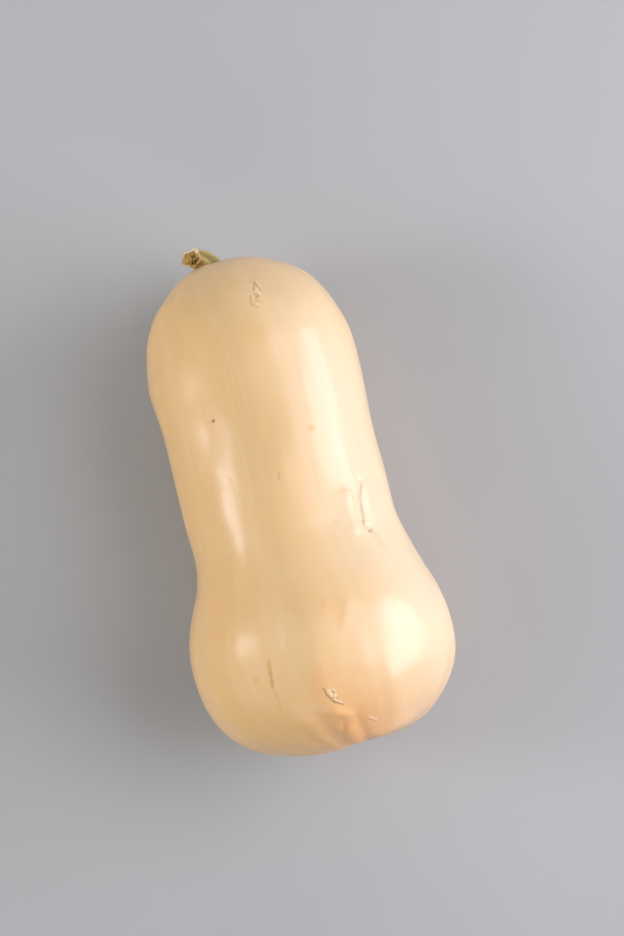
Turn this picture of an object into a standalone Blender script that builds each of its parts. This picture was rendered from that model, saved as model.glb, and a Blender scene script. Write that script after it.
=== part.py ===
"""Butternut squash lying on its side: the fruit, grown in one piece, and its cut stem.

Metres, +Z up. +Y points from the blossom end to the stem end, and +X across the fruit.
The origin is at the bottom centre of the whole object's box, on the surface that the squash lies on.

The fruit is a profile turned round the Y axis, then made uneven as a real one is, laid down so that
its bulb and its neck both touch the surface, and pressed flat where they do. The stem is a five-sided
stalk swept along a bent path from a flat seat in the hollow at the fruit's stem end.
"""

import functools
import math

import bmesh
import bpy
from mathutils import Matrix, Quaternion, Vector, noise
from mathutils.geometry import interpolate_bezier

# The fruit's profile. Distances along it are measured from its stem end.
FRUIT_LENGTH = 0.240
NECK_RADIUS = 0.0492
BULB_RADIUS = 0.0625
SHOULDER_SWELL = 0.0011  # the neck is a little thicker near the stem end
SHOULDER_AT = 0.058
SHOULDER_REACH = 0.022
FLARE_START = 0.132  # where the neck begins to widen into the bulb
FLARE_END = 0.187
STEM_END_REACH = 0.054  # how far along the fruit each end rounds over
STEM_END_FULLNESS = 2.15  # 2 is an ellipse, and more is squarer
BLOSSOM_END_REACH = 0.053
BLOSSOM_END_FULLNESS = 2.5

# The hollows at the two ends, and the flat seat that the stem stands on.
STEM_HOLLOW_DEPTH = 0.0030
STEM_HOLLOW_REACH = 0.0125
STEM_SEAT_RADIUS = 0.0082
STEM_SIDE = -0.0092  # how far the stem and its hollow lie off the axis
STEM_SIDE_REACH = 0.017
BLOSSOM_HOLLOW_DEPTH = 0.0025
BLOSSOM_HOLLOW_REACH = 0.012
BLOSSOM_HOLLOW_SIDE = 0.006  # how far the blossom's hollow lies off the axis, towards +X

# What makes the turned shape a grown one.
RIBS = 10
RIB_DEPTH = 0.0002
RIB_START = 0.120
RIB_END = 0.180
UNEVEN_DEPTH = 0.0008
UNEVEN_SIZE = 0.045
FLATNESS = 0.012  # how much less high than wide the fruit is, as a share
NECK_BOW = 0.0015  # how far the middle of the axis bows upwards
REST_FLAT_DEPTH = 0.0008  # how much of the round underside the resting patches take away

# The stem.
STEM_GAP = 0.0003
STEM_BASE_RADIUS = 0.0082
STEM_END_RADIUS = 0.0058
STEM_FLARE_POWER = 3.0
STEM_RIDGES = 5
STEM_GROOVE = 0.22  # depth of the hollow between two ridges, as a share of the radius
STEM_TURN = math.radians(26)  # of the first ridge, at the seat
STEM_TWIST = math.radians(24)
STEM_PATH = (  # Bezier points, from the seat's centre: across, outwards and up
    Vector((0.0000, 0.0000, 0.0000)),
    Vector((-0.0010, 0.0042, 0.0005)),
    Vector((-0.0038, 0.0064, 0.0020)),
    Vector((-0.0128, 0.0060, 0.0110)),
)
STEM_LEAN = 0.6  # how far the stem's rows turn to face along the path, as a share
STEM_CUT_AT = Vector((-0.0080, 0.0058, 0.0050))  # a point on the cut, from the seat's centre
STEM_CUT_NORMAL = Vector((-0.50, 0.05, 0.86))

# How finely the solids are divided.
RINGS = 64
COLUMNS = 76
STEM_ROWS = 14
STEM_SIDES = 30
LEVELLING_STEPS = 8  # that find how far the fruit leans


def clear_scene():
    for obj in list(bpy.data.objects):
        bpy.data.objects.remove(obj)


def smooth_step(x):
    x = min(max(x, 0.0), 1.0)
    return x * x * (3 - 2 * x)


def bell(x):
    return math.exp(-x * x)


def rounded_end(depth, reach, fullness):
    """The share of the full radius at this depth below an end that rounds over within reach."""
    x = 1 - min(depth / reach, 1.0)
    return (1 - x**fullness) ** (1 / fullness)


def fruit_radius(along):
    neck = NECK_RADIUS + SHOULDER_SWELL * bell((along - SHOULDER_AT) / SHOULDER_REACH)
    flare = smooth_step((along - FLARE_START) / (FLARE_END - FLARE_START))
    full = neck + (BULB_RADIUS - NECK_RADIUS) * flare
    stem_end = rounded_end(along, STEM_END_REACH, STEM_END_FULLNESS)
    blossom_end = rounded_end(FRUIT_LENGTH - along, BLOSSOM_END_REACH, BLOSSOM_END_FULLNESS)
    return full * stem_end * blossom_end


def ring_along(ring):
    """How far along the fruit a ring lies. The rings are closer together at the round ends."""
    return FRUIT_LENGTH * (1 - math.cos(math.pi * ring / RINGS)) / 2


def turned_fruit():
    """A bmesh of the profile turned round Y."""
    bm = bmesh.new()
    for ring in range(RINGS + 1):
        along = ring_along(ring)
        bm.verts.new((0.0, FRUIT_LENGTH / 2 - along, fruit_radius(along)))
    bm.verts.ensure_lookup_table()
    for below, above in zip(bm.verts[:-1], bm.verts[1:]):
        bm.edges.new((below, above))
    bmesh.ops.spin(
        bm,
        geom=bm.verts[:] + bm.edges[:],
        cent=(0, 0, 0),
        axis=(0, 1, 0),
        angle=2 * math.pi,
        steps=COLUMNS,
        use_merge=True,
    )
    bmesh.ops.remove_doubles(bm, verts=bm.verts[:], dist=1e-6)
    bmesh.ops.recalc_face_normals(bm, faces=bm.faces[:])
    return bm


def hollowed(point):
    """The distance that the hollow at the nearer end takes away at this point."""
    if point.y > 0:
        return STEM_HOLLOW_DEPTH * bell(math.hypot(point.x, point.z) / STEM_HOLLOW_REACH)
    from_blossom = math.hypot(point.x - BLOSSOM_HOLLOW_SIDE, point.z)
    return BLOSSOM_HOLLOW_DEPTH * bell(from_blossom / BLOSSOM_HOLLOW_REACH)


@functools.cache
def seat_edge():
    """The radius of the ring that bounds the stem's flat seat, and how far out along Y it lies."""
    ring = next(ring for ring in range(RINGS) if fruit_radius(ring_along(ring)) > STEM_SEAT_RADIUS)
    radius = fruit_radius(ring_along(ring))
    edge = Vector((radius, FRUIT_LENGTH / 2 - ring_along(ring), 0))
    return radius, edge.y - hollowed(edge)


def grown(point):
    """Where a point of the turned shape lies on the grown fruit."""
    along = FRUIT_LENGTH / 2 - point.y
    around = math.atan2(point.x, point.z)
    rib_depth = RIB_DEPTH * smooth_step((along - RIB_START) / (RIB_END - RIB_START))
    uneven = UNEVEN_DEPTH * noise.noise(point / UNEVEN_SIZE)
    swell = (rib_depth * math.cos(RIBS * around) + uneven) / BULB_RADIUS
    bow = NECK_BOW * (1 - (2 * point.y / FRUIT_LENGTH) ** 2)
    from_axis = math.hypot(point.x, point.z)
    seat_radius, seat_height = seat_edge()
    on_seat = point.y > 0 and from_axis < seat_radius
    slide = STEM_SIDE * bell(from_axis / STEM_SIDE_REACH) if point.y > 0 else 0.0
    return Vector((
        point.x * (1 + swell) + slide,
        seat_height if on_seat else point.y - math.copysign(hollowed(point), point.y),
        point.z * (1 + swell) * (1 - FLATNESS) + bow,
    ))


def lowest_point(bm, turn, side):
    """The lowest point of the turned fruit on one side of its middle: 1 for the neck, -1 the bulb."""
    points = (turn @ vert.co for vert in bm.verts if vert.co.y * side > 0)
    return min(points, key=lambda point: point.z)


def laid_down(bm):
    """The matrix that lays the fruit on the surface, with its bulb and its neck both touching it."""
    turn = Matrix.Identity(4)
    for _ in range(LEVELLING_STEPS):
        neck = lowest_point(bm, turn, 1)
        bulb = lowest_point(bm, turn, -1)
        turn = Matrix.Rotation(-math.atan2(neck.z - bulb.z, neck.y - bulb.y), 4, "X") @ turn
    return Matrix.Translation((0, 0, -bulb.z - REST_FLAT_DEPTH)) @ turn


def press_flat(bm):
    """Moves what would lie below the surface up to it, which leaves two flat patches."""
    for vert in bm.verts:
        vert.co.z = max(vert.co.z, 0.0)


def stem_frames():
    """For each row of the stem, the matrix that carries it from the origin's XY plane to its place."""
    outwards = Vector((0, 1, 0))
    upright = outwards.to_track_quat("Z", "Y")
    points = interpolate_bezier(*STEM_PATH, STEM_ROWS + 1)
    for row, point in enumerate(points):
        ahead = points[min(row + 1, STEM_ROWS)] - points[max(row - 1, 0)]
        lean = STEM_LEAN if row else 0.0
        turn = Quaternion().slerp(outwards.rotation_difference(ahead), lean) @ upright
        yield Matrix.Translation(point) @ turn.to_matrix().to_4x4()


def stem_section(share):
    """The stem's five-ridged outline at a share of its length, as points across the path."""
    flare = (1 - share) ** STEM_FLARE_POWER
    radius = STEM_END_RADIUS + (STEM_BASE_RADIUS - STEM_END_RADIUS) * flare
    for side in range(STEM_SIDES):
        angle = 2 * math.pi * side / STEM_SIDES
        reach = radius * (1 - STEM_GROOVE * abs(math.sin(STEM_RIDGES * angle / 2)))
        turned = angle + STEM_TURN + STEM_TWIST * share
        yield Vector((reach * math.cos(turned), reach * math.sin(turned), 0))


def swept_stem():
    """A bmesh of the stem, from its flat base at the origin to its slanting cut."""
    bm = bmesh.new()
    base = bmesh.ops.create_circle(bm, cap_ends=True, radius=STEM_BASE_RADIUS, segments=STEM_SIDES)
    tip = base["verts"][0].link_faces[0]
    for row, frame in enumerate(stem_frames()):
        if row:
            tip = bmesh.ops.extrude_discrete_faces(bm, faces=[tip])["faces"][0]
        for corner, point in zip(tip.verts, stem_section(row / STEM_ROWS)):
            corner.co = frame @ point
    open_edges = [edge for edge in bm.edges if edge.is_boundary]
    bmesh.ops.contextual_create(bm, geom=open_edges)
    cut = bmesh.ops.bisect_plane(
        bm,
        geom=bm.verts[:] + bm.edges[:] + bm.faces[:],
        plane_co=STEM_CUT_AT,
        plane_no=STEM_CUT_NORMAL,
        clear_outer=True,
    )
    cut_edges = [part for part in cut["geom_cut"] if isinstance(part, bmesh.types.BMEdge)]
    bmesh.ops.contextual_create(bm, geom=cut_edges)
    bmesh.ops.recalc_face_normals(bm, faces=bm.faces[:])
    return bm


def material(name, colour, roughness):
    made = bpy.data.materials.new(name)
    made.use_nodes = True
    shader = made.node_tree.nodes["Principled BSDF"]
    shader.inputs["Base Color"].default_value = (*colour, 1)
    shader.inputs["Roughness"].default_value = roughness
    shader.inputs["Metallic"].default_value = 0.0
    return made


def add_object(name, bm, finish):
    mesh = bpy.data.meshes.new(name)
    bm.to_mesh(mesh)
    bm.free()
    mesh.shade_smooth()
    mesh.set_sharp_from_angle(angle=math.radians(40))
    mesh.materials.append(finish)
    obj = bpy.data.objects.new(name, mesh)
    bpy.context.scene.collection.objects.link(obj)
    return obj


def centre_on_origin(objects):
    """Moves the meshes so that the bottom centre of their common box is at the origin."""
    points = [vert.co for obj in objects for vert in obj.data.vertices]
    low = Vector(min(point[axis] for point in points) for axis in range(3))
    high = Vector(max(point[axis] for point in points) for axis in range(3))
    middle = (low + high) / 2
    for obj in objects:
        obj.data.transform(Matrix.Translation((-middle.x, -middle.y, -low.z)))


def main():
    clear_scene()
    fruit = turned_fruit()
    for vert in fruit.verts:
        vert.co = grown(vert.co)
    laid = laid_down(fruit)
    bmesh.ops.transform(fruit, matrix=laid, verts=fruit.verts[:])
    press_flat(fruit)
    stem = swept_stem()
    on_seat = Matrix.Translation((STEM_SIDE, seat_edge()[1] + STEM_GAP, 0))
    bmesh.ops.transform(stem, matrix=laid @ on_seat, verts=stem.verts[:])
    centre_on_origin([
        add_object("squash_fruit", fruit, material("skin", (0.75, 0.50, 0.27), 0.42)),
        add_object("stem", stem, material("dry_stem", (0.42, 0.33, 0.14), 0.75)),
    ])


main()
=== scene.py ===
# %% [markdown]
# # A butternut squash
# This is the fruit of a squash plant, lying on its side, with the short dry stalk that it was cut
# with. The CAD model gives the shape and the place of the two pieces, the fruit and the stem, and
# it never moves. The first cell loads it and keeps its box.
# Everything is in metres: +Y runs from the blossom end to the stem end, +X across, and +Z up.

# %% Load the CAD model
import math
import random
from dataclasses import dataclass, field

import bmesh
import bpy
import numpy as np
from mathutils import Matrix, Quaternion, Vector, noise
from mathutils.bvhtree import BVHTree
from mathutils.geometry import interpolate_bezier


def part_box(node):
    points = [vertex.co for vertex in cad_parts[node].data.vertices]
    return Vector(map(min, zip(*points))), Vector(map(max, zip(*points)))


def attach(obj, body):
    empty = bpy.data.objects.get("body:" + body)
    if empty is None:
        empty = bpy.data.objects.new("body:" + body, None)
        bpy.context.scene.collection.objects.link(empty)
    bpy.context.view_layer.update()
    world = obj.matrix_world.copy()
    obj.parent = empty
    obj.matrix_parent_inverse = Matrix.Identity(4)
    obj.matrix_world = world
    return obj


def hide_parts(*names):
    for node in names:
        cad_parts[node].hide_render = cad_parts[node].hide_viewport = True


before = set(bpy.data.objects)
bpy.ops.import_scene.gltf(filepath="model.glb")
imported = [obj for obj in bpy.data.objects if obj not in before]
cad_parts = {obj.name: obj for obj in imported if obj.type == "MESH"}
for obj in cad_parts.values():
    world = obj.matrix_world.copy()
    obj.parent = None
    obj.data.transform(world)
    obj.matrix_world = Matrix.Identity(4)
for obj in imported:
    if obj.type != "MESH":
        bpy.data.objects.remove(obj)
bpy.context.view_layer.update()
fruit_low, fruit_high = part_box("squash_fruit")
fruit_length = fruit_high.y - fruit_low.y
print("CAD nodes:", sorted(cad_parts), "| fruit length in mm:", round(fruit_length * 1000, 1))

# %% [markdown]
# ## The rind's plain shape
# The rind could be turned again from a profile, but the CAD fruit already has the grown shape, with
# its lean and its flat rests. So a copy of its mesh is used. A CAD mesh is loose triangles: they
# are merged, paired into four-sided faces, and rounded once by Catmull-Clark subdivision, which
# irons out the facets.

# %% Copy the fruit and round it
MM = 0.001
WELD = 1e-6
PAIRING_ANGLE = math.radians(40)


def cad_copy(node):
    """A bmesh with a copy of a CAD node's mesh, its loose triangles merged."""
    bm = bmesh.new()
    bm.from_mesh(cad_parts[node].data)
    bmesh.ops.remove_doubles(bm, verts=bm.verts[:], dist=WELD)
    return bm


def rounded(bm, levels):
    """A bmesh of the same shape after Catmull-Clark subdivision."""
    mesh = bpy.data.meshes.new("blank")
    bm.to_mesh(mesh)
    bm.free()
    blank = bpy.data.objects.new("blank", mesh)
    bpy.context.scene.collection.objects.link(blank)
    blank.modifiers.new("round", "SUBSURF").levels = levels
    fine = bmesh.new()
    fine.from_object(blank, bpy.context.evaluated_depsgraph_get())
    bpy.data.objects.remove(blank)
    bpy.data.meshes.remove(mesh)
    return fine


rind = cad_copy("squash_fruit")
bmesh.ops.join_triangles(
    rind,
    faces=rind.faces[:],
    angle_face_threshold=PAIRING_ANGLE,
    angle_shape_threshold=PAIRING_ANGLE,
)
rind = rounded(rind, 1)
print("rind blank:", len(rind.faces), "faces")

# %% [markdown]
# ## Places on the rind
# Scars, pits and scratches have to land on the skin wherever they are. Each is placed by two
# numbers that a grower could measure: how far it lies from the stem end, in millimetres, and how
# far round from the top, in degrees, with plus to the right when the stem end points away. A ray
# from the middle of the fruit then finds the point on the skin. The scar of the flower, on the
# blossom end, is found by a ray along the fruit.

# %% Find a place on the rind
skin_tree = BVHTree.FromBMesh(rind)
middle_height = fruit_high.z / 2


def on_rind(along, around):
    """The point this many millimetres from the stem end, and degrees round from the top."""
    turn = math.radians(around)
    inside = Vector((0, fruit_high.y - along * MM, middle_height))
    return np.array(skin_tree.ray_cast(inside, Vector((math.sin(turn), 0, math.cos(turn))))[0])


behind_scar = Vector((0.0080, 0, 0.0675))
blossom_scar = np.array(skin_tree.ray_cast(behind_scar, Vector((0, -1, 0)))[0])
print("blossom scar at, in mm:", (blossom_scar / MM).round(1))

# %% [markdown]
# ## The marks of a life in the field
# A real rind carries healed scratches, a corky scab, small pits and a shallow crease where a leaf
# stalk pressed on it. They could be painted only, but then they would vanish when the light comes
# from the side. So each mark is a stroke: a path on the skin with a width, a height that raises or
# sinks the mesh, and a tint that the finish reads later. Broad swellings and hollows are strokes
# without a tint, and places where the wax is rubbed thin are strokes without a height. The marks on
# the sides and the underside are drawn by a random generator with a fixed seed.

# %% List the marks
@dataclass
class Stroke:
    """One mark: its path on the skin, its half width and height in millimetres, and its tint."""

    places: list
    width: float
    height: float
    tint: str = "cork_and_highlight"
    strength: float = 0.0
    ragged: float = 0.3  # how far its edges wander, in millimetres
    path: list = field(default_factory=list)

    def __post_init__(self):
        self.path = [on_rind(*place) for place in self.places]


strokes = [
    # A scratch near the stem end that has healed into thin lines round a raised, pale flake.
    Stroke([(15.2, 25.8), (17.1, 23.5), (18.7, 21.4)], 0.42, -0.14, "brown_and_shade", 0.42, 0.2),
    Stroke([(15.2, 25.8), (17.8, 26.4), (20.0, 27.0)], 0.42, -0.14, "brown_and_shade", 0.34, 0.2),
    Stroke([(14.6, 28.9), (17.7, 28.9)], 0.55, 0.20, "cork_and_highlight", 0.32, 0.2),
    Stroke([(18.7, 24.0), (20.0, 22.6), (21.3, 24.0), (19.6, 24.4)], 0.85, 0.26, "cork_and_highlight", 0.55, 0.2),
    # brown painted as shade beside the raised flake, in a sunk line
    Stroke([(20.8, 19.6), (22.3, 22.1), (22.6, 20.0)], 0.50, -0.18, "brown_and_shade", 0.42, 0.2),
    Stroke([(20.0, 13.5), (20.5, 18.8)], 0.50, 0.14, "cork_and_highlight", 0.30, 0.2),
    Stroke([(14.0, 23.3), (15.1, 21.4)], 0.40, -0.08, "brown_and_shade", 0.20),
    Stroke([(21.5, 15.0), (23.8, 13.2), (25.9, 13.8)], 0.40, -0.12, "brown_and_shade", 0.30),
    Stroke([(22.0, 16.6), (24.1, 15.1)], 0.50, 0.14, "cork_and_highlight", 0.30),
    Stroke([(23.5, 19.3), (25.0, 20.1), (25.8, 22.0)], 0.40, -0.12, "brown_and_shade", 0.26),
    Stroke([(25.7, 18.0)], 0.75, 0.20, "cork_and_highlight", 0.42),
    # brown painted as shade beside the flakes, in a sunk line
    Stroke([(26.2, 14.1), (27.5, 17.5)], 0.42, -0.10, "brown_and_shade", 0.24),
    # A small pit with a raised lip painted pale as a highlight, and a soft rust-coloured spot.
    Stroke([(73.3, -35.4)], 0.75, -0.50, "brown_and_shade", 0.85, 0.1),
    Stroke([(73.1, -37.8)], 0.60, 0.26, "cork_and_highlight", 0.70, 0.1),
    Stroke([(87.4, 28.7)], 2.00, -0.05, "ochre", 0.50, 1.0),
    # Broad swellings and hollows, where the fruit isn't quite round: on the neck, its shoulder, the
    # waist, the bulb, and where the light runs down the neck.
    Stroke([(55.0, -100.0), (57.0, -65.0), (58.0, -38.0)], 14.0, 1.10, ragged=0),
    Stroke([(2.5, 60.0), (4.0, 20.0)], 16.0, 1.10, ragged=0),
    Stroke([(96.0, 100.0), (97.0, 72.0)], 15.0, -1.20, ragged=0),
    Stroke([(150.0, -110.0), (150.0, -85.0)], 14.0, -1.30, ragged=0),
    Stroke([(166.0, 90.0), (198.0, 95.0)], 19.0, -1.10, ragged=0),
    Stroke([(81.0, -34.0), (88.0, -33.0)], 8.0, -0.50, ragged=0),
    Stroke([(128.0, -45.0), (134.0, -42.0)], 6.0, -0.30, ragged=0),
    # Places where the wax is rubbed thin, so that they shine less.
    Stroke([(34.0, -37.0), (50.0, -33.0), (62.0, -36.0)], 10.0, 0.00, "rubbed", 0.80, 2.0),
    Stroke([(66.0, -38.0), (80.0, -37.0), (90.0, -39.0)], 4.5, 0.00, "rubbed", 0.80, 2.6),
    Stroke([(164.0, -39.5), (186.0, -41.5)], 4.0, 0.00, "rubbed", 0.90, 1.2),
    Stroke([(164.0, -22.0), (186.0, -24.5)], 2.6, 0.00, "rubbed", 0.80, 1.2),
    Stroke([(170.0, -31.0), (182.0, -33.0)], 5.0, 0.00, "rubbed", 0.35, 1.5),
    # Two more swellings, by the blossom end and on the neck's side.
    Stroke([(230.0, 24.0), (229.2, 40.0)], 8.0, 1.80, ragged=0),
    Stroke([(21.0, -89.0), (30.0, -91.0)], 10.0, 1.60, ragged=0),
    # Small bumps and ripples that catch the light on the bulb and on the neck.
    Stroke([(167.6, -3.0)], 1.7, 0.22, ragged=0),
    Stroke([(173.0, -13.6), (180.0, -15.1)], 1.6, 0.22, ragged=0),
    Stroke([(167.0, 16.0), (175.3, 12.3)], 2.8, 0.28, ragged=0),
    Stroke([(184.7, 16.5), (195.3, 14.9)], 4.2, 0.40, ragged=0),
    Stroke([(98.0, -35.0), (101.0, -30.0)], 1.1, -0.10, ragged=0),
    Stroke([(104.0, -37.0), (107.0, -31.5)], 1.2, 0.10, ragged=0),
    # A short dash, some specks and three faint bruises.
    Stroke([(103.6, 0.0), (106.6, -0.5)], 0.50, -0.08, "brown_and_shade", 0.24, 0.2),
    Stroke([(121.5, 40.7)], 0.55, -0.05, "brown_and_shade", 0.30, 0.2),
    Stroke([(123.3, 42.6)], 0.55, -0.05, "brown_and_shade", 0.30, 0.2),
    Stroke([(132.1, 26.6)], 1.60, 0.00, "brown_and_shade", 0.13, 0.8),
    Stroke([(113.5, 21.7)], 1.60, 0.00, "brown_and_shade", 0.06, 0.8),
    Stroke([(164.6, 5.5)], 2.00, 0.00, "brown_and_shade", 0.06, 0.8),
    # The crease above the bulb, with low swellings on both sides of it. A faint brown along its
    # valley and on its upper part is painted shade; its lower end carries brown spots.
    Stroke(
        [(116.0, 52.5), (118.1, 51.7), (123.0, 47.9), (127.0, 46.8), (132.1, 44.9), (135.7, 44.0),
         (138.9, 46.5)],
        1.30, -0.70, "brown_and_shade", 0.05,
    ),
    Stroke(
        [(133.8, 44.4), (135.7, 44.0), (137.1, 45.0), (138.9, 46.5)],
        0.55, -0.30, "brown_and_shade", 0.32, 0.2,
    ),
    Stroke([(127.0, 46.8), (130.0, 45.7)], 0.55, -0.10, "brown_and_shade", 0.20, 0.3),
    Stroke([(138.9, 46.5), (141.9, 47.9), (146.5, 47.5)], 2.00, -0.40, "ochre", 0.10),
    Stroke([(122.0, 39.0), (129.9, 37.5), (135.3, 37.0)], 4.00, 0.80),
    Stroke([(120.5, 56.5), (128.1, 54.3), (132.5, 53.6)], 3.30, 0.70),
    # A long scratch down the bulb, rust-coloured at its start.
    Stroke([(185.0, -23.6), (188.5, -24.1)], 1.15, -0.12, "ochre", 0.55, 0.5),
    Stroke([(188.5, -24.1), (195.6, -24.9)], 0.95, -0.14, "ochre", 0.75, 0.5),
    Stroke([(195.6, -24.9), (200.8, -24.5), (205.5, -25.0)], 0.65, -0.06, "ochre", 0.28, 0.6),
    Stroke([(191.7, -31.9)], 1.5, -0.04, "ochre", 0.30, 0.8),
    # The corky scab: a furrow with a flaking pale lip on one side.
    Stroke(
        [(201.5, -3.8), (203.9, -3.1), (206.7, -1.6), (208.8, -0.3), (210.1, 1.6), (211.0, 3.4)],
        0.55, -0.32, "brown_and_shade", 0.52, 0.5,
    ),
    Stroke([(203.0, -2.0), (204.7, -1.1), (206.6, -0.1)], 1.10, 0.50, "cork_and_highlight", 0.80, 1.0),
    Stroke([(202.8, 0.5), (204.9, 0.8)], 0.55, 0.28, "cork_and_highlight", 0.60, 0.5),
    Stroke([(207.9, 0.7), (209.2, 2.1), (210.6, 3.4)], 0.60, 0.34, "cork_and_highlight", 0.80, 0.5),
    Stroke([(203.4, -0.9), (204.9, 1.0)], 0.32, -0.32, "brown_and_shade", 0.40, 0.4),
    Stroke([(206.2, -0.8), (207.6, 1.2)], 0.30, -0.30, "brown_and_shade", 0.40, 0.4),
    Stroke([(220.2, 15.2), (221.2, 16.9), (222.1, 19.2)], 0.60, 0.24, "cork_and_highlight", 0.50, 0.4),
    # a thin line of painted shade below the small scab, sunk a little
    Stroke([(221.5, 15.2), (222.7, 17.8)], 0.35, -0.20, "brown_and_shade", 0.35, 0.3),
    # The skin gathered towards the blossom end: swellings, and the hollows between them. The faint
    # brown in two of the hollows is painted shade.
    Stroke([(213.3, -0.9), (214.4, 1.5), (215.9, 4.0)], 2.50, 1.00, ragged=0),
    Stroke([(223.5, 2.6), (228.9, 5.2), (231.0, 7.4)], 3.40, 0.60, ragged=0),
    Stroke(
        [(220.2, 1.2), (222.9, 0.8), (226.2, -0.4), (231.0, -1.0)],
        1.40, -0.42, "brown_and_shade", 0.08, 0.1,
    ),
    Stroke(
        [(213.8, -9.6), (218.0, -8.8), (222.8, -7.9), (227.4, -6.4), (231.3, -4.6)],
        2.60, -0.38, ragged=0.1,
    ),
    Stroke([(219.5, 9.0), (225.1, 11.5), (230.0, 15.5), (233.0, 17.1)], 2.30, -0.36, ragged=0.1),
    Stroke([(231.0, 15.0), (230.7, 19.0), (231.2, 23.8)], 2.20, -0.40, "brown_and_shade", 0.08, 0.2),
    Stroke([(220.1, -19.9), (226.3, -19.8), (232.0, -20.6)], 2.60, -0.35, ragged=0.1),
]
print(len(strokes), "marks on the upper side")

# %% Scatter a few more over the sides and the underside
chance = random.Random(11)
HIDDEN_SIDES = (100, 260)  # degrees round from the top


def scattered(number, width, height, tint, strength, length):
    """Strokes at random places on the sides and the underside, each running roughly lengthwise."""
    made = []
    for _ in range(number):
        along, around = chance.uniform(18, 222), chance.uniform(*HIDDEN_SIDES)
        run, lean = length * chance.uniform(0.5, 1.0), chance.uniform(-5, 5)
        middle = (along + run / 2, around + lean / 3)
        places = [(along, around), middle, (along + run, around + lean)]
        size = chance.uniform(0.7, 1.2)
        made.append(Stroke(places, width * size, height, tint, strength))
    return made


strokes += scattered(9, 0.50, -0.16, "brown_and_shade", 0.75, 0.1)
strokes += scattered(5, 0.60, -0.10, "ochre", 0.60, 14)
strokes += scattered(4, 0.90, 0.30, "cork_and_highlight", 0.85, 4)
strokes += scattered(4, 1.70, -0.40, "cork_and_highlight", 0.00, 16)
strokes += scattered(5, 1.40, 0.00, "ochre", 0.40, 1)
print(len(strokes), "marks in all")

# %% [markdown]
# ## A finer mesh where there is detail
# Fine marks need small faces, but small faces everywhere would make the mesh far too heavy. So only
# edges that are too long for their place are cut in half, round after round, until every edge is
# short enough. The operator's own smoothing keeps the new points on the curve of the skin.

# %% Cut the long edges near the marks
PLAIN_EDGE = 2.1 * MM
MARK_EDGE = 0.36 * MM
EDGE_IN_MARK = 0.60  # of the mark's half width, where that is longer
MARK_REACH = 1.5  # half widths that the fine faces go out from a mark
MARK_MARGIN = 0.4  # millimetres more
END_EDGE = 0.95 * MM
END_REACH = 0.022
GRADING = 0.36  # how fast the faces may grow with distance from a mark
CUTTING_ROUNDS = 6


def away_from(points, path):
    """How far each point lies from a path of one or more points."""
    nearest = np.full(len(points), np.inf)
    for start, end in zip(path, path[1:] or path):
        step = end - start
        share = ((points - start) @ step / max(step @ step, WELD**2)).clip(0, 1)
        away = np.linalg.norm(points - start - share[:, None] * step, axis=1)
        nearest = np.minimum(nearest, away)
    return nearest


def longest_edge(points, seat):
    """How long an edge may be at each point."""
    allowed = np.full(len(points), PLAIN_EDGE)
    for stroke in strokes:
        fine = max(MARK_EDGE, stroke.width * EDGE_IN_MARK * MM)
        reach = (stroke.width * MARK_REACH + MARK_MARGIN) * MM
        outside = (away_from(points, stroke.path) - reach).clip(0)
        allowed = np.minimum(allowed, fine + GRADING * outside)
    for end in (blossom_scar, seat):
        outside = (np.linalg.norm(points - end, axis=1) - END_REACH).clip(0)
        allowed = np.minimum(allowed, END_EDGE + GRADING * outside)
    return allowed


def cut_long_edges(bm, seat):
    """Halves the edges that are too long for their place, until none is left."""
    for _ in range(CUTTING_ROUNDS):
        ends = np.array([[vert.co for vert in edge.verts] for edge in bm.edges])
        lengths = np.linalg.norm(ends[:, 0] - ends[:, 1], axis=1)
        too_long = lengths > longest_edge(ends.mean(axis=1), seat)
        long_edges = [edge for edge, long in zip(bm.edges, too_long) if long]
        if not long_edges:
            return
        bmesh.ops.subdivide_edges(bm, edges=long_edges, cuts=1, smooth=1.0)
        bmesh.ops.triangulate(bm, faces=bm.faces[:], quad_method="SHORT_EDGE")


stem_copy = cad_copy("stem")
stem_foot = [face for face in stem_copy.faces if face.normal.y < -0.99]
foot_area = sum(face.calc_area() for face in stem_foot)
foot_sum = sum((face.calc_center_median() * face.calc_area() for face in stem_foot), Vector())
seat_centre = foot_sum / foot_area
seat_out = -stem_foot[0].normal
bmesh.ops.triangulate(rind, faces=rind.faces[:], quad_method="SHORT_EDGE")
cut_long_edges(rind, np.array(seat_centre))
print("rind:", len(rind.faces), "triangles")
print("stem seat at, in mm:", [round(v / MM, 1) for v in seat_centre])

# %% [markdown]
# ## Press and raise the rind
# Now the vertices move along their normals, as a sculptor would push clay. Four layers are added:
# slow waves and lengthwise flutes, which break up the highlights as on a grown fruit; the blossom
# end, where the skin gathers in folds round the scar of the flower; the collar round the stem; and
# the marks.
#
# Whatever runs lengthwise has to meet at the scar and at the stem, as it does on a grown fruit. So
# angles are measured round a middle line that bends to those two places at its ends.

# %% The middle line
MIDDLE_LIFT = 0.6 * MM
BEND_SHARE = 0.20  # the share of the length over which the middle line bends at each end
POLE_REACH = 0.026  # how far round each end the flutes and streaks die away


def eased(x):
    """A smooth step from 0 to 1 over the same range of x."""
    x = np.clip(x, 0, 1)
    return x * x * (3 - 2 * x)


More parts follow.
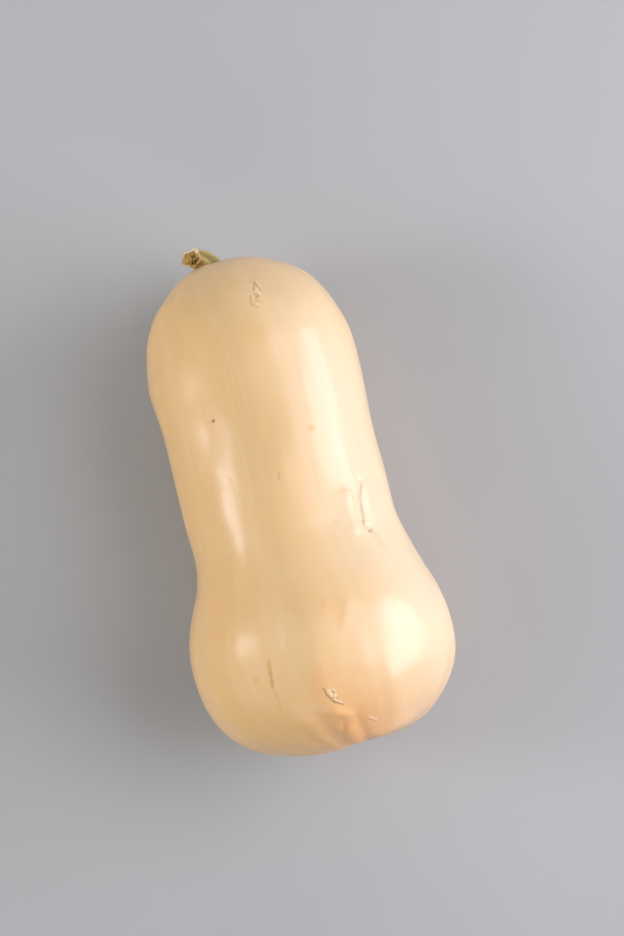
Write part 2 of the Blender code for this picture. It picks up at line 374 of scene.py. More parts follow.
points = np.array([vert.co for vert in rind.verts])
normals = np.array([vert.normal for vert in rind.verts])
share_along = (fruit_high.y - points[:, 1]) / fruit_length
middle = np.tile((0, middle_height + MIDDLE_LIFT), (len(points), 1))
for end, share_from_end in ((blossom_scar, 1 - share_along), (seat_centre, share_along)):
    nearness = eased((BEND_SHARE - share_from_end) / BEND_SHARE)
    middle += nearness[:, None] * ((end[0], end[2]) - middle)
off_middle = points[:, (0, 2)] - middle
around = np.arctan2(off_middle[:, 0], off_middle[:, 1])
opened = (np.linalg.norm(off_middle, axis=1) / POLE_REACH).clip(0, 1)
print("vertices near the two poles:", int((opened < 1).sum()))

# %% Waves and flutes
WAVES = (  # depth, and size across, along and up: all in millimetres
    (0.95, (26, 32, 26)),
    (0.26, (13, 19, 13)),
    (0.12, (6, 20, 6)),
)
FLUTES = (  # number round, depth in millimetres, and where they start
    (13, 0.15, 0.6),
    (21, 0.09, 2.1),
    (29, 0.02, 4.4),
)
FLUTE_START = 0.62  # as a share of the length from the stem end
FLUTE_FULL = 0.80
NECK_FLUTES = 0.25  # how deep they are on the neck, as a share of their depth on the bulb


def bell(x):
    """1 where x is 0, falling smoothly to 0 at about 2 either way."""
    return np.exp(-x * x)


def uneven(points, size):
    """Smooth noise, mostly within half of 1 either way, whose bumps have this size."""
    scaled = points / np.array(size)
    return np.array([noise.noise(point) for point in scaled.tolist()])


height = sum(depth * uneven(points, Vector(size) * MM) for depth, size in WAVES)
on_bulb = eased((share_along - FLUTE_START) / (FLUTE_FULL - FLUTE_START))
flute_share = (NECK_FLUTES + (1 - NECK_FLUTES) * on_bulb) * eased(opened)
for number, depth, start in FLUTES:
    height += depth * flute_share * np.cos(number * around + start)
print("waves and flutes, mm:", height.min().round(2), "to", height.max().round(2))

# %% The folds at the blossom end
FOLDS = (  # degrees round the scar from straight up, depth, reach and how much the fold bends
    (-23, 0.45, 44, -0.12),
    (8, 0.48, 40, -0.55),
    (36, 0.50, 38, 0.20),
    (74, 0.75, 27, -0.10),
    (112, 0.60, 24, 0.15),
    (151, 0.85, 27, -0.10),
    (-170, 0.60, 23, 0.10),
    (-130, 0.80, 26, 0.20),
    (-95, 0.60, 26, -0.20),
    (-56, 0.70, 36, 0.10),
)
FOLD_WIDTH = 1.7
FOLD_BENDS_FROM = 28  # millimetres from the scar, where each fold has the direction given
LOBE_HEIGHT = 0.75  # as a share of the fold's depth
LOBE_OFF = 4.2  # how far each side of a fold its lobe stands
LOBE_WIDTH = 3.0
DENT_DEPTH = 1.2
DENT_REACH = 19.0
SCAR_RADIUS = 3.6
RIM_OFF = 0.8  # how far outside the scar its rim stands, and how wide it is

from_scar = np.linalg.norm(points - blossom_scar, axis=1) / MM
scar_turn = np.degrees(np.arctan2(points[:, 0] - blossom_scar[0], points[:, 2] - blossom_scar[2]))
near_end = (points[:, 1] < 0).astype(float)
height -= DENT_DEPTH * bell(from_scar / DENT_REACH) * near_end
for fold_turn, depth, reach, bend in FOLDS:
    off = (scar_turn - fold_turn - bend * (FOLD_BENDS_FROM - from_scar) + 180) % 360 - 180
    across = np.radians(off) * from_scar
    fade = eased((reach - from_scar) / (reach * 0.65)) * eased(from_scar / 5) * near_end
    height -= depth * fade * np.exp(-np.abs(across) / FOLD_WIDTH)
    lobes = bell((across - LOBE_OFF) / LOBE_WIDTH) + bell((across + LOBE_OFF) / LOBE_WIDTH)
    height += LOBE_HEIGHT * depth * fade * lobes
scar = bell((from_scar / SCAR_RADIUS) ** 2) * near_end
scar_rim = bell((from_scar - SCAR_RADIUS - RIM_OFF) / RIM_OFF) * near_end
crumbs = uneven(points, 1.3 * MM)  # the crumbly skin of cork, here and in the marks
height += scar_rim * (0.35 + 0.25 * crumbs) - scar * (0.5 - 0.3 * crumbs)
print("blossom end done:", int((from_scar < DENT_REACH).sum()), "vertices in its dent")

# %% The collar round the stem
COLLAR_RADIUS = 9.6
COLLAR_WIDTH = 2.4
COLLAR_HEIGHT = 0.45
COLLAR_PLEATS = 10
PLEAT_RADIUS = 15
PLEAT_WIDTH = 5
PLEAT_DEPTH = 0.30

outward = (points - np.array(seat_centre)) @ np.array(seat_out)
beside = points - np.array(seat_centre) - outward[:, None] * np.array(seat_out)
from_stem = np.linalg.norm(beside, axis=1) / MM
stem_turn = np.arctan2(beside[:, 0], beside[:, 2])
stem_end = (points[:, 1] > 0).astype(float)
pleats = 0.5 + 0.5 * np.cos(COLLAR_PLEATS * stem_turn + 0.7 * np.sin(3 * stem_turn + 1))
collar = bell((from_stem - COLLAR_RADIUS) / COLLAR_WIDTH) * stem_end
height += COLLAR_HEIGHT * collar * (0.35 + 0.65 * pleats)
height -= PLEAT_DEPTH * bell((from_stem - PLEAT_RADIUS) / PLEAT_WIDTH) * stem_end * (1 - pleats)
print("collar vertices:", int((collar > 0.5).sum()))

# %% The marks
WIDE_SHAKE = 1.9 * MM  # the sizes of the wander that makes the marks' edges ragged
FINE_SHAKE = 0.8 * MM
FLAKING = 1.2
STEM_ANGLE_SHADE_RADIUS = 8.4  # a thin dark ring of painted shade in the angle of the stem

noise.seed_set(7)  # so that every run wanders in the same way
shake = np.array([noise.noise_vector(Vector(point) / WIDE_SHAKE) for point in points])
shake += 0.5 * np.array([noise.noise_vector(Vector(point) / FINE_SHAKE) for point in points])
tints = {name: np.zeros(len(points)) for name in ("cork_and_highlight", "brown_and_shade", "ochre", "rubbed")}
for stroke in strokes:
    away = away_from(points + shake * stroke.ragged * MM, stroke.path) / (stroke.width * MM)
    flaking = 1 + (FLAKING * crumbs if stroke.tint == "cork_and_highlight" and stroke.strength else 0)
    height += stroke.height * bell(away) * flaking
    tint = tints[stroke.tint]
    np.maximum(tint, stroke.strength * bell(away**1.5), out=tint)
tints["cork_and_highlight"] = np.maximum(tints["cork_and_highlight"], 0.8 * np.maximum(scar, 0.8 * scar_rim))
# painted shade: a thin dark ring where the fruit meets the stem
stem_angle_shade = bell((from_stem - STEM_ANGLE_SHADE_RADIUS) / 0.9) * stem_end
tints["brown_and_shade"] = np.maximum(tints["brown_and_shade"], 0.35 * stem_angle_shade)
points += normals * height[:, None] * MM
points[:, 2] = points[:, 2].clip(0)  # what would go below the floor stays pressed flat on it
for vert, point in zip(rind.verts, points):
    vert.co = point
print("relief, mm:", height.min().round(2), "to", height.max().round(2))

# %% Make the rind's object
FOLDS_TINTED_TO = 82  # millimetres from the scar, where the peach of the folds has faded away
FOLDS_FADE_OVER = 52


def store(mesh, name, values):
    """Keeps one number, or one vector, at each vertex for a finish to read."""
    vector = np.ndim(values) == 2
    made = mesh.attributes.new(name, "FLOAT_VECTOR" if vector else "FLOAT", "POINT")
    made.data.foreach_set("vector" if vector else "value", np.asarray(values, np.float32).ravel())


def add_piece(name, bm, attributes):
    """An object with this mesh, smooth, outside out, at the origin."""
    mesh = bpy.data.meshes.new(name)
    bmesh.ops.recalc_face_normals(bm, faces=bm.faces[:])
    bm.to_mesh(mesh)
    bm.free()
    mesh.shade_smooth()
    for key, values in attributes.items():
        store(mesh, key, values)
    obj = bpy.data.objects.new(name, mesh)
    bpy.context.scene.collection.objects.link(obj)
    return obj


grain = np.stack([opened * np.cos(around), opened * np.sin(around), share_along], axis=1)
folded = (near_end * eased((FOLDS_TINTED_TO - from_scar) / FOLDS_FADE_OVER)).clip(0, 1)
squash_rind = add_piece("squash_rind", rind, {"grain": grain, "folded": folded, **tints})
print("squash_rind:", len(squash_rind.data.polygons), "triangles")
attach(squash_rind, "root")
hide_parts("squash_fruit")

# %% [markdown]
# ## A small language for finishes
# A finish is a tree of shader nodes. Clicking them together works, but sums are easier to read as
# sums. The class below wraps one output of a node, so that Python's own signs add Math nodes. Every
# other node comes from `add_node`. A few named helpers cover what all the finishes here need.

# %% Wrap the shader nodes
class Wire:
    """One output socket. Arithmetic on it adds Math nodes."""

    def __init__(self, socket):
        self.socket = socket

    def math(self, operation, first, second):
        settings = {"operation": operation}
        return add_node(self.socket.id_data, "Math", settings, {0: first, 1: second})

    def __add__(self, other):
        return self.math("ADD", self, other)

    def __sub__(self, other):
        return self.math("SUBTRACT", self, other)

    def __rsub__(self, other):
        return self.math("SUBTRACT", other, self)

    def __mul__(self, other):
        return self.math("MULTIPLY", self, other)

    __radd__ = __add__
    __rmul__ = __mul__


def add_node(tree, kind, settings=None, sockets=None, output=0):
    """One output of a new shader node, whose settings are made first and its sockets after."""
    node = tree.nodes.new("ShaderNode" + kind)
    for name, value in (settings or {}).items():
        setattr(node, name, value)
    for key, value in (sockets or {}).items():
        if isinstance(value, Wire):
            tree.links.new(value.socket, node.inputs[key])
        else:
            node.inputs[key].default_value = value
    return Wire(node.outputs[output])


def new_finish(name, **plain):
    """A material whose shader has these plain values, with its tree and its shader."""
    made = bpy.data.materials.new(name)
    made.use_nodes = True
    shader = made.node_tree.nodes["Principled BSDF"]
    for key, value in plain.items():
        shader.inputs[key.replace("_", " ")].default_value = value
    return made, made.node_tree, shader


def feed(shader, socket, wire):
    shader.id_data.links.new(wire.socket, shader.inputs[socket])


def blotches(tree, where, size, detail=2.0, roughness=0.5):
    """Cloudy noise from 0 to 1 whose blotches are about this many metres wide."""
    sockets = {"Vector": where, "Scale": 1 / size, "Detail": detail, "Roughness": roughness}
    return add_node(tree, "TexNoise", {}, sockets)


def between(value, low, high):
    """0 below low, 1 above high, and smooth between."""
    sockets = {"Value": value, "From Min": low, "From Max": high}
    return add_node(value.socket.id_data, "MapRange", {"interpolation_type": "SMOOTHSTEP"}, sockets)


def stretched(vector, scale):
    tree = vector.socket.id_data
    return add_node(tree, "VectorMath", {"operation": "MULTIPLY"}, {0: vector, 1: scale})


def painted(under, over, amount):
    """The colour under, with the colour over laid on it where amount says."""
    tree = amount.socket.id_data
    return add_node(tree, "Mix", {"data_type": "RGBA"}, {0: amount, 6: under, 7: over}, output=2)


def at_vertex(tree, name, output="Fac"):
    return add_node(tree, "Attribute", {"attribute_name": name}, {}, output)


def colour(red, green, blue):
    return (red, green, blue, 1.0)


# %% [markdown]
# ## The finish of the rind
# A butternut's rind is matt tan under a thin natural wax. So the finish is a rough base under a
# glossier coat, with a little light scattered inside it. Its colour drifts between straw, tan and
# peach in patches a few centimetres wide, and in fine streaks that run from end to end. The streaks
# read a vector stored on the mesh that follows the fruit round and along, so they close in on both
# ends as the real ones do.
#
# The same vector tells the sides apart: the flank towards the big light on the right gets a paler
# colour as a painted highlight, and the other flank a warmer colour as painted shade. The neck is a
# deeper tan, and the gathered skin at the blossom end is peach. Corky, brown and rust-coloured
# marks are laid over all that, and they are duller; the brown also lays painted shade in the
# crease, the fold hollows, beside a few marks and round the stem, and the cork a painted highlight
# on one lip.
# The wax is uneven, and it is missing where the skin is marked and thin where it is rubbed.

# %% Paint the rind
TAN = colour(0.811, 0.540, 0.264)
STRAW = colour(0.828, 0.568, 0.286)
PEACH = colour(0.820, 0.512, 0.238)
PALE_STREAK = colour(0.880, 0.650, 0.380)
# the next two colours are painted light: a paler tone for the highlight flank, a warmer one for the
# shaded flank
PAINTED_HIGHLIGHT_TONE = colour(0.725, 0.608, 0.425)
PAINTED_SHADE_TONE = colour(0.830, 0.510, 0.200)
NECK_TAN = colour(0.715, 0.482, 0.232)
FOLD_PEACH = colour(0.905, 0.438, 0.150)
CORK_AND_HIGHLIGHT = colour(0.870, 0.650, 0.400)
# brown of the marks, also used as painted shade in creases, hollows and the angle of the stem
BROWN_AND_SHADE = colour(0.300, 0.145, 0.045)
RUST = colour(0.610, 0.360, 0.085)

MOST_WAX = 0.73
LEAST_WAX = 0.56

waxy_rind, tree, shader = new_finish(
    "waxy_rind",
    IOR=1.45,
    Subsurface_Weight=0.12,
    Subsurface_Radius=(0.0050, 0.0022, 0.0010),
    Subsurface_Scale=1.0,
    Coat_Roughness=0.24,
    Coat_IOR=1.50,
)
where = add_node(tree, "TexCoord", output="Object")
lengthwise = at_vertex(tree, "grain", "Vector")
cork_and_highlight, brown_and_shade, ochre = (at_vertex(tree, name) for name in ("cork_and_highlight", "brown_and_shade", "ochre"))
patches = between(blotches(tree, where, 0.060, 1.0), 0.35, 0.65)
other_patches = between(blotches(tree, stretched(where, (1.7, 1.0, 1.7)), 0.045, 2.0), 0.42, 0.70)
streaks = blotches(tree, stretched(lengthwise, (1.0, 1.0, 0.22)), 0.14, 3.0, 0.6)
fine_streaks = blotches(tree, stretched(lengthwise, (1.0, 1.0, 0.10)), 0.020, 2.0)
freckles = blotches(tree, where, 0.0022, 1.0)
upper, flank, share_down = (
    add_node(tree, "SeparateXYZ", {}, {"Vector": lengthwise}, axis) for axis in range(3)
)
folds = at_vertex(tree, "folded")
skin = painted(TAN, STRAW, patches)
skin = painted(skin, PEACH, other_patches * 0.9)
skin = painted(skin, NECK_TAN, 0.5 - between(share_down, 0.30, 0.65) * 0.5)
skin = painted(skin, FOLD_PEACH, folds * 0.80)
# painted highlight: a paler colour on the flank towards the big light, fading in past the shoulder
# and away under the fruit
past_shoulder = 0.25 + between(share_down, 0.06, 0.34) * 0.65
not_under = between(upper, -0.75, 0.55)
painted_highlight_share = past_shoulder * not_under * (1 - folds * 0.45)
skin = painted(skin, PAINTED_HIGHLIGHT_TONE, between(flank + patches * 0.15, 0.10, 1.00) * painted_highlight_share)
# painted shade: a warmer, more saturated colour on the flank away from the big light
skin = painted(skin, PAINTED_SHADE_TONE, between(0 - flank, 0.00, 0.80) * 0.80)
skin = painted(skin, PALE_STREAK, between(streaks, 0.42, 0.70) * 0.17)
skin = painted(skin, PALE_STREAK, between(fine_streaks, 0.45, 0.75) * 0.05)
skin = painted(skin, PALE_STREAK, between(freckles, 0.62, 0.78) * 0.08)
skin = painted(skin, RUST, ochre)
# corky marks, and a painted highlight on the lip of the small pit
skin = painted(skin, CORK_AND_HIGHLIGHT, cork_and_highlight)
# brown marks, and painted shade where the brown tint lies in the crease, fold hollows, beside marks
# and round the stem
skin = painted(skin, BROWN_AND_SHADE, brown_and_shade)
feed(shader, "Base Color", skin)
marked = cork_and_highlight + brown_and_shade * 0.8 + ochre * 0.4
feed(shader, "Roughness", 0.50 + blotches(tree, where, 0.012) * 0.08 + marked * 0.25)
waxed = (1 - between(marked, 0.1, 0.8)) * (1 - at_vertex(tree, "rubbed"))
wax = LEAST_WAX + between(blotches(tree, where, 0.011, 2.0), 0.36, 0.62) * (MOST_WAX - LEAST_WAX)
feed(shader, "Coat Weight", waxed * wax)
pores = between(blotches(tree, where, 0.0016, 2.0), 0.45, 0.75)
relief = pores * 0.35 + fine_streaks * 0.5 + blotches(tree, where, 0.006, 2.0)
bump = add_node(tree, "Bump", {}, {"Strength": 0.35, "Distance": 0.00008, "Height": relief})
feed(shader, "Normal", bump)
squash_rind.data.materials.append(waxy_rind)
print("waxy_rind:", len(tree.nodes), "nodes")

# %% [markdown]
# ## The stem
# The stalk is five-sided and woody. It spreads into five roots where it grips the fruit, twists a
# little, bends to one side and upwards, and ends in a slanting cut with a torn edge and a dark
# hollow pith. It could be carved from a cylinder, but extruding one ring of edges row by row along
# the bend is easier to steer: each row is placed by a matrix, and its outline is worked out for its
# own height.

# %% Sweep the stalk
STEM_PATH = (  # Bezier points from the middle of its seat: across, outwards and up
    Vector((0.0000, 0.0000, 0.0000)),
    Vector((-0.0008, 0.0046, 0.0005)),
    Vector((-0.0036, 0.0073, 0.0020)),
    Vector((-0.0126, 0.0070, 0.0110)),
)
STEM_ROWS = 56
STEM_SIDES = 150
STEM_LEAN = 0.6  # how much of the path's turning its rows take on
STEM_BASE_RADIUS = 0.0082
STEM_END_RADIUS = 0.0058
STEM_RIDGES = 5
STEM_GROOVE = 0.19
STEM_TURN = math.radians(26)
STEM_TWIST = math.radians(24)
STEM_SUNK = 0.0006  # how deep the roots go into the rind
STEM_CUT_AT = Vector((-0.0078, 0.0067, 0.0050))
STEM_CUT_NORMAL = Vector((-0.50, 0.05, 0.86)).normalized()
FIBRES = 0.030  # the heights of what roughens its outline, as shares of its radius
FINE_FIBRES = 0.016
LUMPS = 0.030
STEM_SHRUNK = 0.015


def stalk_reach(turn, share):
    """How far the stalk reaches from its middle line, in metres, in one direction at one height."""
    radius = STEM_END_RADIUS + (STEM_BASE_RADIUS - STEM_END_RADIUS) * (1 - share) ** 3
    between_ridges = abs(math.sin(STEM_RIDGES * turn / 2)) ** 0.85
    groove = STEM_GROOVE * (1 + 0.35 * (1 - share) ** 2)
    side = Vector((math.cos(turn), math.sin(turn), share * 0.7))
    finer = Vector((side.x * 26, side.y * 26, share))
    fibres = FIBRES * noise.noise(side * 9) + FINE_FIBRES * noise.noise(finer)
    lumps = LUMPS * noise.noise(Vector((side.x * 2, side.y * 2, share * 5 + 3)))
    return radius * (1.0 - groove * between_ridges + fibres + lumps - STEM_SHRUNK)


def stalk_rows():
    """For each row, its share of the length and the matrix that carries it from the XY plane."""
    outwards = Vector((0, 1, 0))
    upright = outwards.to_track_quat("Z", "Y")
    middles = interpolate_bezier(*STEM_PATH, STEM_ROWS + 1)
    for row, middle in enumerate(middles):
        ahead = middles[min(row + 1, STEM_ROWS)] - middles[max(row - 1, 0)]
        lean = STEM_LEAN * min(row / 5, 1.0)
        turn = Quaternion().slerp(outwards.rotation_difference(ahead), lean) @ upright
        yield row / STEM_ROWS, Matrix.Translation(middle) @ turn.to_matrix().to_4x4()


STEM_MASKS = ("share", "ridge", "pith_and_shade", "rim", "highlit")
stalk = bmesh.new()
share_layer, ridge_layer, pith_and_shade_layer, rim_layer, highlit_layer = (
    stalk.verts.layers.float.new(mask) for mask in STEM_MASKS
)
foot = bmesh.ops.create_circle(stalk, segments=STEM_SIDES, radius=STEM_BASE_RADIUS)["verts"]
ring, turns = list(foot), [2 * math.pi * side / STEM_SIDES for side in range(STEM_SIDES)]
for share, place in stalk_rows():
    if share:
        edges = [stalk.edges.get((ring[side - 1], ring[side])) for side in range(STEM_SIDES)]
        fresh = bmesh.ops.extrude_edge_only(stalk, edges=edges)["geom"]
        above = {}
        for vert in (part for part in fresh if isinstance(part, bmesh.types.BMVert)):
            for edge in vert.link_edges:
                if edge.other_vert(vert) in set(ring):
                    above[edge.other_vert(vert)] = vert
        ring = [above[vert] for vert in ring]
    for vert, turn in zip(ring, turns):
        reach = stalk_reach(turn, share)
        turned = turn + STEM_TURN + STEM_TWIST * share
        vert.co = place @ Vector((reach * math.cos(turned), reach * math.sin(turned), 0))
        if not share:
            vert.co.y -= STEM_SUNK
        vert[share_layer] = share
        vert[ridge_layer] = 1 - abs(math.sin(STEM_RIDGES * turn / 2))
print("stalk:", len(stalk.faces), "faces before the cut")

# %% [markdown]
# ### The cut
# A plane slices the stalk off. The open edge is then drawn inwards ring by ring, which gives the
# cut its own faces to shape: a woody rim, a step down, and a torn, hollow floor.

# %% Cut it and hollow the pith
CUT_RINGS = (  # share of the full width, and depth in millimetres
    (0.95, 0.10), (0.89, 0.05), (0.82, -0.15), (0.75, -0.30), (0.67, -0.40), (0.59, -0.55),
    (0.50, -0.75), (0.41, -0.95), (0.32, -1.05), (0.23, -1.05), (0.14, -0.95), (0.06, -0.90),
)
TORN_DEPTH = 0.40  # millimetres
PIT_DEPTH = 1.4
PIT_AT = Vector((0.0016, -0.0012, 0.0009))  # from the middle of the cut
PIT_RADIUS = 3.2 * MM
# where a patch of painted shade lies on the flank below the cut, from the middle of the cut
SHADE_PATCH_AT = Vector((0.0032, -0.0032, -0.0004))
SHADE_PATCH_RADIUS = 1.7 * MM
HIGHLIT_SIDE = Vector((0.25, 0.95, 0.15))  # the side of the cut whose rim gets the palest painted highlight

bmesh.ops.bisect_plane(
    stalk,
    geom=stalk.verts[:] + stalk.edges[:] + stalk.faces[:],
    plane_co=STEM_CUT_AT,
    plane_no=STEM_CUT_NORMAL,
    clear_outer=True,
)
cut_edges = [
    edge
    for edge in stalk.edges
    if edge.is_boundary
    and all(abs((vert.co - STEM_CUT_AT).dot(STEM_CUT_NORMAL)) < 1e-6 for vert in edge.verts)
]
lip = {vert for edge in cut_edges for vert in edge.verts}
cut_middle = sum((vert.co for vert in lip), Vector()) / len(lip)
cut_radius = sum((vert.co - cut_middle).length for vert in lip) / len(lip)
for vert in stalk.verts:
    below = -(vert.co - STEM_CUT_AT).dot(STEM_CUT_NORMAL) / MM
    vert[rim_layer] = bell(below / 0.9)
    # painted shade: a dark patch on the flank below the cut, kept in the same mask as the pith
    vert[pith_and_shade_layer] = bell((vert.co - cut_middle - SHADE_PATCH_AT).length / SHADE_PATCH_RADIUS)
    # painted highlight: the cut's rim is palest on the side given above
    vert[highlit_layer] = eased((vert.co - cut_middle).dot(HIGHLIT_SIDE) / cut_radius - 0.15)
shrunk = 1.0
for share, depth in CUT_RINGS:
    fresh = bmesh.ops.extrude_edge_only(stalk, edges=cut_edges)["geom"]
    inner = [part for part in fresh if isinstance(part, bmesh.types.BMVert)]
    drawn = [part for part in fresh if isinstance(part, bmesh.types.BMEdge)]
    cut_edges = [edge for edge in drawn if edge.is_boundary]
    for vert in inner:
        flat = vert.co - cut_middle
        flat -= STEM_CUT_NORMAL * flat.dot(STEM_CUT_NORMAL)
        rounder = 1 + 0.35 * (1 - share) * (cut_radius * shrunk / flat.length - 1)
        torn = noise.noise(flat / (1.3 * MM)) + 0.6 * noise.noise(flat / (0.6 * MM))
        rotten = 1.2 * bell((flat - PIT_AT).length / PIT_RADIUS) + noise.noise(flat / (1.1 * MM))
        pit = float(eased((rotten - 0.62) / 0.40) * eased((0.90 - share) / 0.15))
        sunk = depth + TORN_DEPTH * torn - PIT_DEPTH * pit
        vert.co = cut_middle + flat * rounder * (share / shrunk) + STEM_CUT_NORMAL * sunk * MM
        vert[pith_and_shade_layer] = 0.3 + 0.7 * pit
        vert[rim_layer] = 0.8 if share > 0.8 else 0.0
        vert[share_layer] = 1.0
    shrunk = share
bmesh.ops.contextual_create(stalk, geom=cut_edges)
for vert in lip:
    vert.co += STEM_CUT_NORMAL * TORN_DEPTH * MM * noise.noise(vert.co / (1.8 * MM))
bmesh.ops.contextual_create(stalk, geom=[edge for edge in stalk.edges if edge.is_boundary])
bmesh.ops.triangulate(stalk, faces=[face for face in stalk.faces if len(face.verts) > 4])
lean = Vector((0, 1, 0)).rotation_difference(seat_out).to_matrix().to_4x4()
bmesh.ops.transform(stalk, matrix=Matrix.Translation(seat_centre) @ lean, verts=stalk.verts[:])
squash_stem = add_piece("squash_stem", stalk, {})
print("squash_stem:", len(squash_stem.data.polygons), "faces")
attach(squash_stem, "root")
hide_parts("stem")

# %% [markdown]
# ## The finish of the stem
# Dry stalk is olive-tan, paler and greyer along its worn ridges, darker in the grooves as painted
# shade, and green-brown near the fruit. The cut shows straw-coloured wood at its rim, painted
# brighter as a highlight along the edge and palest on one side, and a dark brown hollow inside; a
# patch of painted shade lies on the stalk's flank below the cut. Each of these is a mask stored on
# the mesh while it was swept, so the colours sit exactly on the shapes.

# %% Paint the stem
OLIVE = colour(0.400, 0.300, 0.100)
STRAW_RIDGE = colour(0.620, 0.480, 0.220)
# a dark brown used both as painted shade in the grooves and for specks
GROOVE_SHADE_AND_SPECKS = colour(0.200, 0.130, 0.040)
ROOT_GREEN = colour(0.260, 0.230, 0.080)
# the pale rim colour is a painted highlight
PAINTED_HIGHLIGHT_RIM = colour(0.740, 0.640, 0.450)
CUT_WOOD = colour(0.500, 0.310, 0.090)
# wood at the cut's edge, brightened as a painted highlight
CUT_EDGE_AND_HIGHLIGHT = colour(0.780, 0.500, 0.220)
PITH_DARK = colour(0.105, 0.058, 0.012)
ROTTEN_BROWN = colour(0.250, 0.135, 0.030)

dry_stem, tree, shader = new_finish("dry_stem", IOR=1.45)
where = add_node(tree, "TexCoord", output="Object")
share, ridge, pith_and_shade, rim, highlit = (at_vertex(tree, mask) for mask in STEM_MASKS)
mottle = blotches(tree, where, 0.0035, 4.0, 0.6)
specks = blotches(tree, where, 0.0009, 3.0, 0.6)
# painted shade: darker colour in the grooves between the ridges
bark = painted(OLIVE, GROOVE_SHADE_AND_SPECKS, (1 - between(ridge, 0.05, 0.5)) * 0.6)
bark = painted(bark, STRAW_RIDGE, between(ridge + mottle * 0.8, 0.80, 1.40) * 0.6)
bark = painted(bark, ROOT_GREEN, (1 - between(share, 0.05, 0.45)) * 0.5)
bark = painted(bark, GROOVE_SHADE_AND_SPECKS, between(specks, 0.60, 0.80) * 0.45)
# wood, rot and dark pith in the cut, and the same colours as painted shade in the patch below it
bark = painted(bark, CUT_WOOD, between(pith_and_shade, 0.02, 0.20))
rotten = between(pith_and_shade, 0.02, 0.20) * between(mottle, 0.42, 0.62)
bark = painted(bark, ROTTEN_BROWN, rotten * 0.75)
chipped = between(blotches(tree, where, 0.0030, 2.0), 0.36, 0.56)
# painted highlight along the cut's edge, on its own wood colour
bark = painted(bark, CUT_EDGE_AND_HIGHLIGHT, between(rim + mottle * 0.9, 0.90, 1.30) * chipped * 0.85)
# painted highlight: the rim palest on one side of the cut
rim_highlight = between(rim, 0.05, 0.45) * between(highlit + mottle * 0.6, 0.55, 0.95)
bark = painted(bark, PAINTED_HIGHLIGHT_RIM, rim_highlight)
bark = painted(bark, PITH_DARK, between(pith_and_shade + specks * 0.4, 0.75, 1.15))
feed(shader, "Base Color", bark)
feed(shader, "Roughness", 0.68 + mottle * 0.25)
fibre = blotches(tree, stretched(where, (1.0, 0.35, 1.0)), 0.0007, 3.0, 0.6)
relief = fibre + specks * 0.5
bump = add_node(tree, "Bump", {}, {"Strength": 0.6, "Distance": 0.0002, "Height": relief})
feed(shader, "Normal", bump)
squash_stem.data.materials.append(dry_stem)
print("dry_stem:", len(tree.nodes), "nodes")

# %% [markdown]
# ## The floor
# A plain pale surface carries the soft shadow and throws a little light back under the fruit. It is
# scenery and isn't part of the object.

# %% Lay the floor
FLOOR_GREY = colour(0.435, 0.447, 0.452)
FLOOR_SHADE = colour(0.420, 0.424, 0.428)
FLOOR_HALF_WIDTH = 4.0

ground = bmesh.new()
bmesh.ops.create_grid(ground, x_segments=8, y_segments=8, size=FLOOR_HALF_WIDTH)
floor = add_piece("floor", ground, {})
painted_board, tree, shader = new_finish("painted_board", Roughness=0.85, IOR=1.3)
cloudy = blotches(tree, add_node(tree, "TexCoord", output="Object"), 0.12, 3.0)
feed(shader, "Base Color", painted(FLOOR_GREY, FLOOR_SHADE, cloudy))
floor.data.materials.append(painted_board)
print("floor laid")

# %% [markdown]
# ## Light
# One big soft light stands low on the right, as a window does, so it is bright on that flank and
# leaves a soft shadow on the left, and the sky above the window widens its highlight. The other
# lights stand for the room: a wide dim wall, a ceiling and a corner on the left, one light straight
# above, and one beyond each end of the fruit. A small strip on the left draws the long broken
# highlight down the neck. A dim even sky fills the rest.

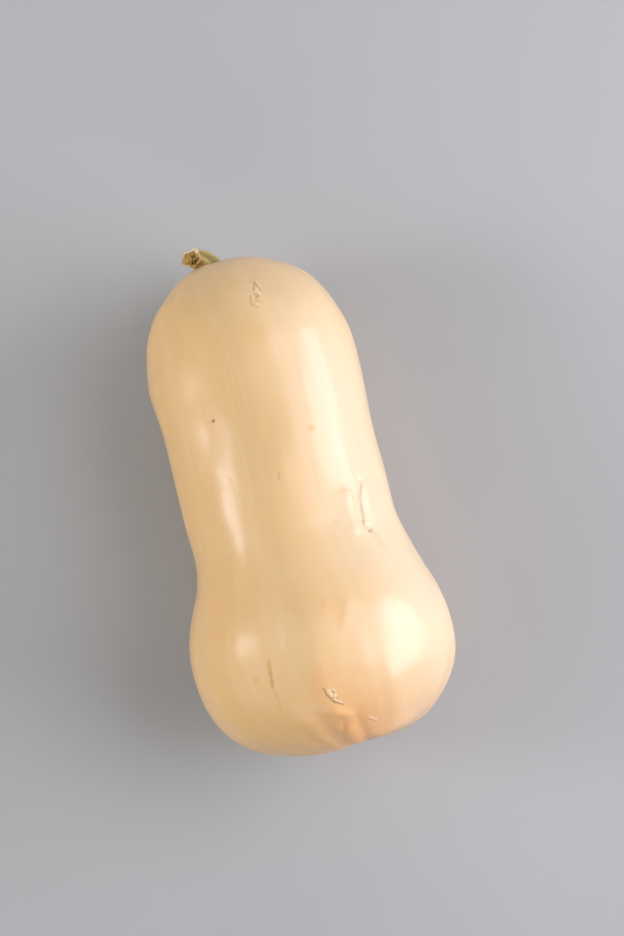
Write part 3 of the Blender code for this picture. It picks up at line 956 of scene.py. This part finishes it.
# %% Set the lights
HEADING = math.radians(-14.165)  # how far the camera is turned round the vertical
aside = Vector((math.cos(HEADING), math.sin(HEADING), 0))  # to the right in the view
upward = Vector((-math.sin(HEADING), math.cos(HEADING), 0))  # to the top of the view
aim = Vector((0, 0, 0.05))
DAYLIGHT = (1.0, 0.972, 1.045)
LAMPLIGHT = (1.0, 0.985, 0.965)
LIGHTS = (  # name; metres right, towards the top and above; width, height, watts and tint
    ("window", 1.15, 0.10, 0.45, 1.35, 0.90, 17.3, DAYLIGHT),
    ("skylight", 0.95, 0.40, 1.45, 1.60, 0.90, 10.6, DAYLIGHT),
    ("left_wall", -2.40, -0.90, 0.90, 3.40, 2.50, 23.5, LAMPLIGHT),
    ("left_ceiling", -1.50, 0.00, 1.30, 2.00, 1.10, 5.4, LAMPLIGHT),
    ("left_corner", -2.00, 1.60, 0.80, 1.60, 1.40, 2.0, LAMPLIGHT),
    ("overhead", 0.00, 0.00, 2.00, 1.70, 1.70, 2.0, LAMPLIGHT),
    ("stem_side", 0.30, 1.60, 0.80, 1.80, 1.20, 6.5, LAMPLIGHT),
    ("blossom_side", 0.00, -1.60, 0.80, 1.80, 1.20, 5.7, LAMPLIGHT),
    ("strip", -1.07, -0.03, 0.57, 0.40, 0.50, 4.1, DAYLIGHT),
)
SKY_STRENGTH = 0.033


def soft_light(name, right, top, high, width, tall, watts, tint):
    """A soft oval light that is aimed at the fruit."""
    light = bpy.data.lights.new(name, "AREA")
    light.shape = "ELLIPSE"
    light.size, light.size_y = width, tall
    light.energy = watts
    light.color = tint
    obj = bpy.data.objects.new(name, light)
    obj.location = aim + aside * right + upward * top + Vector((0, 0, high))
    obj.rotation_euler = (aim - obj.location).to_track_quat("-Z", "Y").to_euler()
    bpy.context.scene.collection.objects.link(obj)


for light_row in LIGHTS:
    soft_light(*light_row)
world = bpy.data.worlds.new("even_sky")
world.use_nodes = True
sky = world.node_tree.nodes["Background"]
sky.inputs["Color"].default_value = colour(0.93, 0.97, 1.0)
sky.inputs["Strength"].default_value = SKY_STRENGTH
bpy.context.scene.world = world

# %% [markdown]
# ## Camera
# The camera looks straight down from a metre above, with a long lens, so the fruit keeps its
# proportions. Turning it round the vertical lays the fruit at a slant across the picture.

# %% Set the camera
CAMERA_AT = Vector((0.01544, 0.00913, 1.105))
LENS = 84.96

lens = bpy.data.cameras.new("camera")
lens.lens = LENS
lens.clip_end = 20
camera = bpy.data.objects.new("camera", lens)
camera.location = CAMERA_AT
camera.rotation_euler = (0, 0, HEADING)
bpy.context.scene.collection.objects.link(camera)
bpy.context.scene.camera = camera
bpy.context.scene.view_settings.view_transform = "Standard"
print("camera at", tuple(round(v, 3) for v in camera.location))
